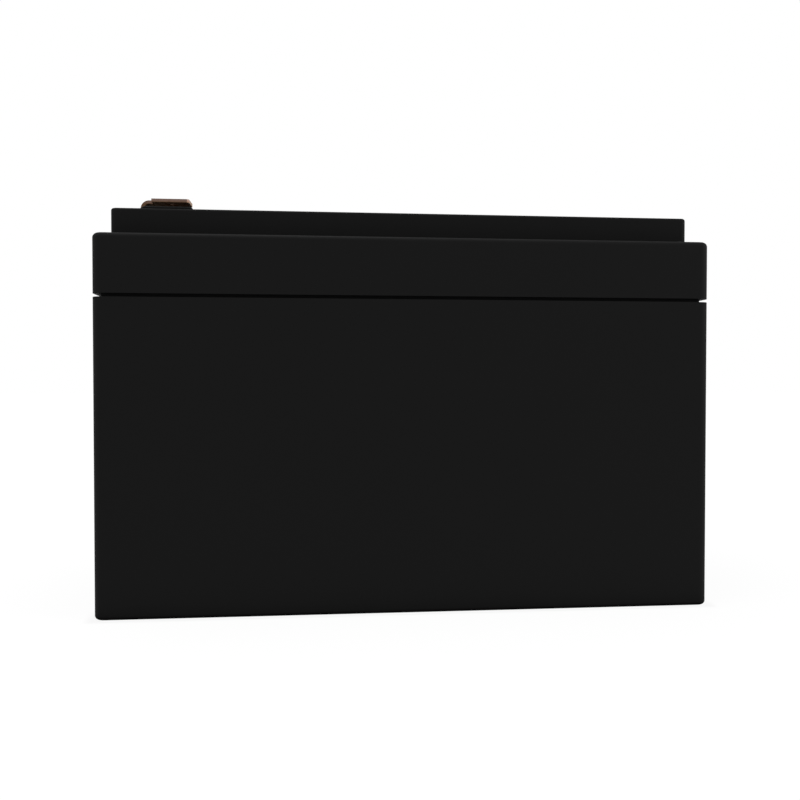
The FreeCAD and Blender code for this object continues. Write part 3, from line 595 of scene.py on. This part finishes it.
def make_floor(look):
    """A wide pale floor: white to the eye, with the battery's shadow, and white in mirroring
    faces. A share of its white lights the battery, but not from close by, where a dark painted
    contact shadow is laid into its paint as well."""
    ways = ((-1, -1), (1, -1), (1, 1), (-1, 1))
    corners = [(x * FLOOR_HALF, y * FLOOR_HALF, 0.0) for x, y in ways]
    mesh = bpy.data.meshes.new("floor")
    mesh.from_pydata(corners, [], [[0, 1, 2, 3]])
    floor = bpy.data.objects.new("floor", mesh)
    bpy.context.scene.collection.objects.link(floor)
    finish = Finish("pale_floor")
    past_x, past_y = (
        (abs(finish.axis(name)) - edge).most(0.0) for name, edge in zip("XY", CAD_BOX[1])
    )
    away = (past_x * past_x + past_y * past_y) ** 0.5
    # Painted contact shadow: the floor's paint is dark at the case and turns pale within 3 mm
    floor_paint_with_painted_shadow = finish.mixed(away.step(*PAINTED_SHADOW_FADE), *FLOOR_PAINT_AND_PAINTED_SHADOW)
    finish.shader(Base_Color=floor_paint_with_painted_shadow, Roughness=0.9, Specular_IOR_Level=0.0)
    plain = Field(finish, finish.nodes["Principled BSDF"].outputs[0])
    glow = finish.add("ShaderNodeEmission", inputs={"Color": WHITE, "Strength": FLOOR_GLOW})
    seen = finish.rays("Camera")
    white = LEAST_WHITE + (1.0 - LEAST_WHITE) * away.step(*WHITE_FADE)
    mirrored = finish.white_rays()
    sent = (mirrored + (1.0 - mirrored) * look.bounce) * away.step(*BOUNCE_FADE)
    factor = seen * white + (1.0 - seen) * sent
    mix = finish.add("ShaderNodeMixShader", inputs={0: factor, 1: plain, 2: glow})
    finish.feed(finish.nodes["Material Output"].inputs["Surface"], mix)
    mesh.materials.append(finish.owner)


def light_world(look):
    """Even light from all round, which is seen and mirrored as plain white."""
    world = bpy.data.worlds.new("studio")
    bpy.context.scene.world = world
    finish = Finish("studio", world)
    background = finish.nodes["Background"]
    strength = look.ambient + (1.0 - look.ambient) * finish.white_rays()
    finish.feed(background.inputs["Color"], WHITE)
    finish.feed(background.inputs["Strength"], strength)


class BATTERY_OT_stage(Operator):
    """Set the floor, the soft light and the camera at the photograph's viewing angle"""

    bl_idname = "battery.stage"
    bl_label = "Set the stage"

    def execute(self, context):
        look = context.scene.battery_stage
        make_floor(look)
        light_world(look)
        area_lamp("key", KEY_PLACE, KEY_SIDE, look.key)
        area_lamp("fill_left", LEFT_PLACE, FILL_SIDE, look.left)
        area_lamp("fill_right", RIGHT_PLACE, FILL_SIDE, look.right)
        lens = bpy.data.cameras.new("camera")
        lens.lens = look.lens
        lens.sensor_width = SENSOR
        lens.clip_start = NEAREST
        camera = bpy.data.objects.new("camera", lens)
        camera.location = look.eye
        camera.rotation_euler = (math.pi / 2 - look.tilt, 0.0, -look.turn)
        context.scene.collection.objects.link(camera)
        context.scene.camera = camera
        context.scene.view_settings.view_transform = "Standard"
        return {"FINISHED"}


class BATTERY_PT_panel(Panel):
    """The battery's steps, in order"""

    bl_label = "Battery"
    bl_space_type = "VIEW_3D"
    bl_region_type = "UI"
    bl_category = "Battery"

    def draw(self, context):
        for operator in OPERATORS:
            self.layout.operator(operator.bl_idname)


LOOKS = {
    "battery_case": CaseLook,
    "battery_tab": TabLook,
    "battery_resin": ResinLook,
    "battery_stage": StageLook,
}
OPERATORS = (
    BATTERY_OT_case,
    BATTERY_OT_terminals,
    BATTERY_OT_resin,
    BATTERY_OT_inside,
    BATTERY_OT_stage,
)


def register():
    for made in (*LOOKS.values(), *OPERATORS, BATTERY_PT_panel):
        bpy.utils.register_class(made)
    for name, look in LOOKS.items():
        setattr(bpy.types.Scene, name, PointerProperty(type=look))


def unregister():
    for name in LOOKS:
        delattr(bpy.types.Scene, name)
    for made in reversed((*LOOKS.values(), *OPERATORS, BATTERY_PT_panel)):
        bpy.utils.unregister_class(made)


def main():
    register()
    bpy.ops.battery.case()
    bpy.ops.battery.terminals()
    bpy.ops.battery.resin()
    bpy.ops.battery.inside()
    bpy.ops.battery.stage()


if __name__ == "__main__":
    main()
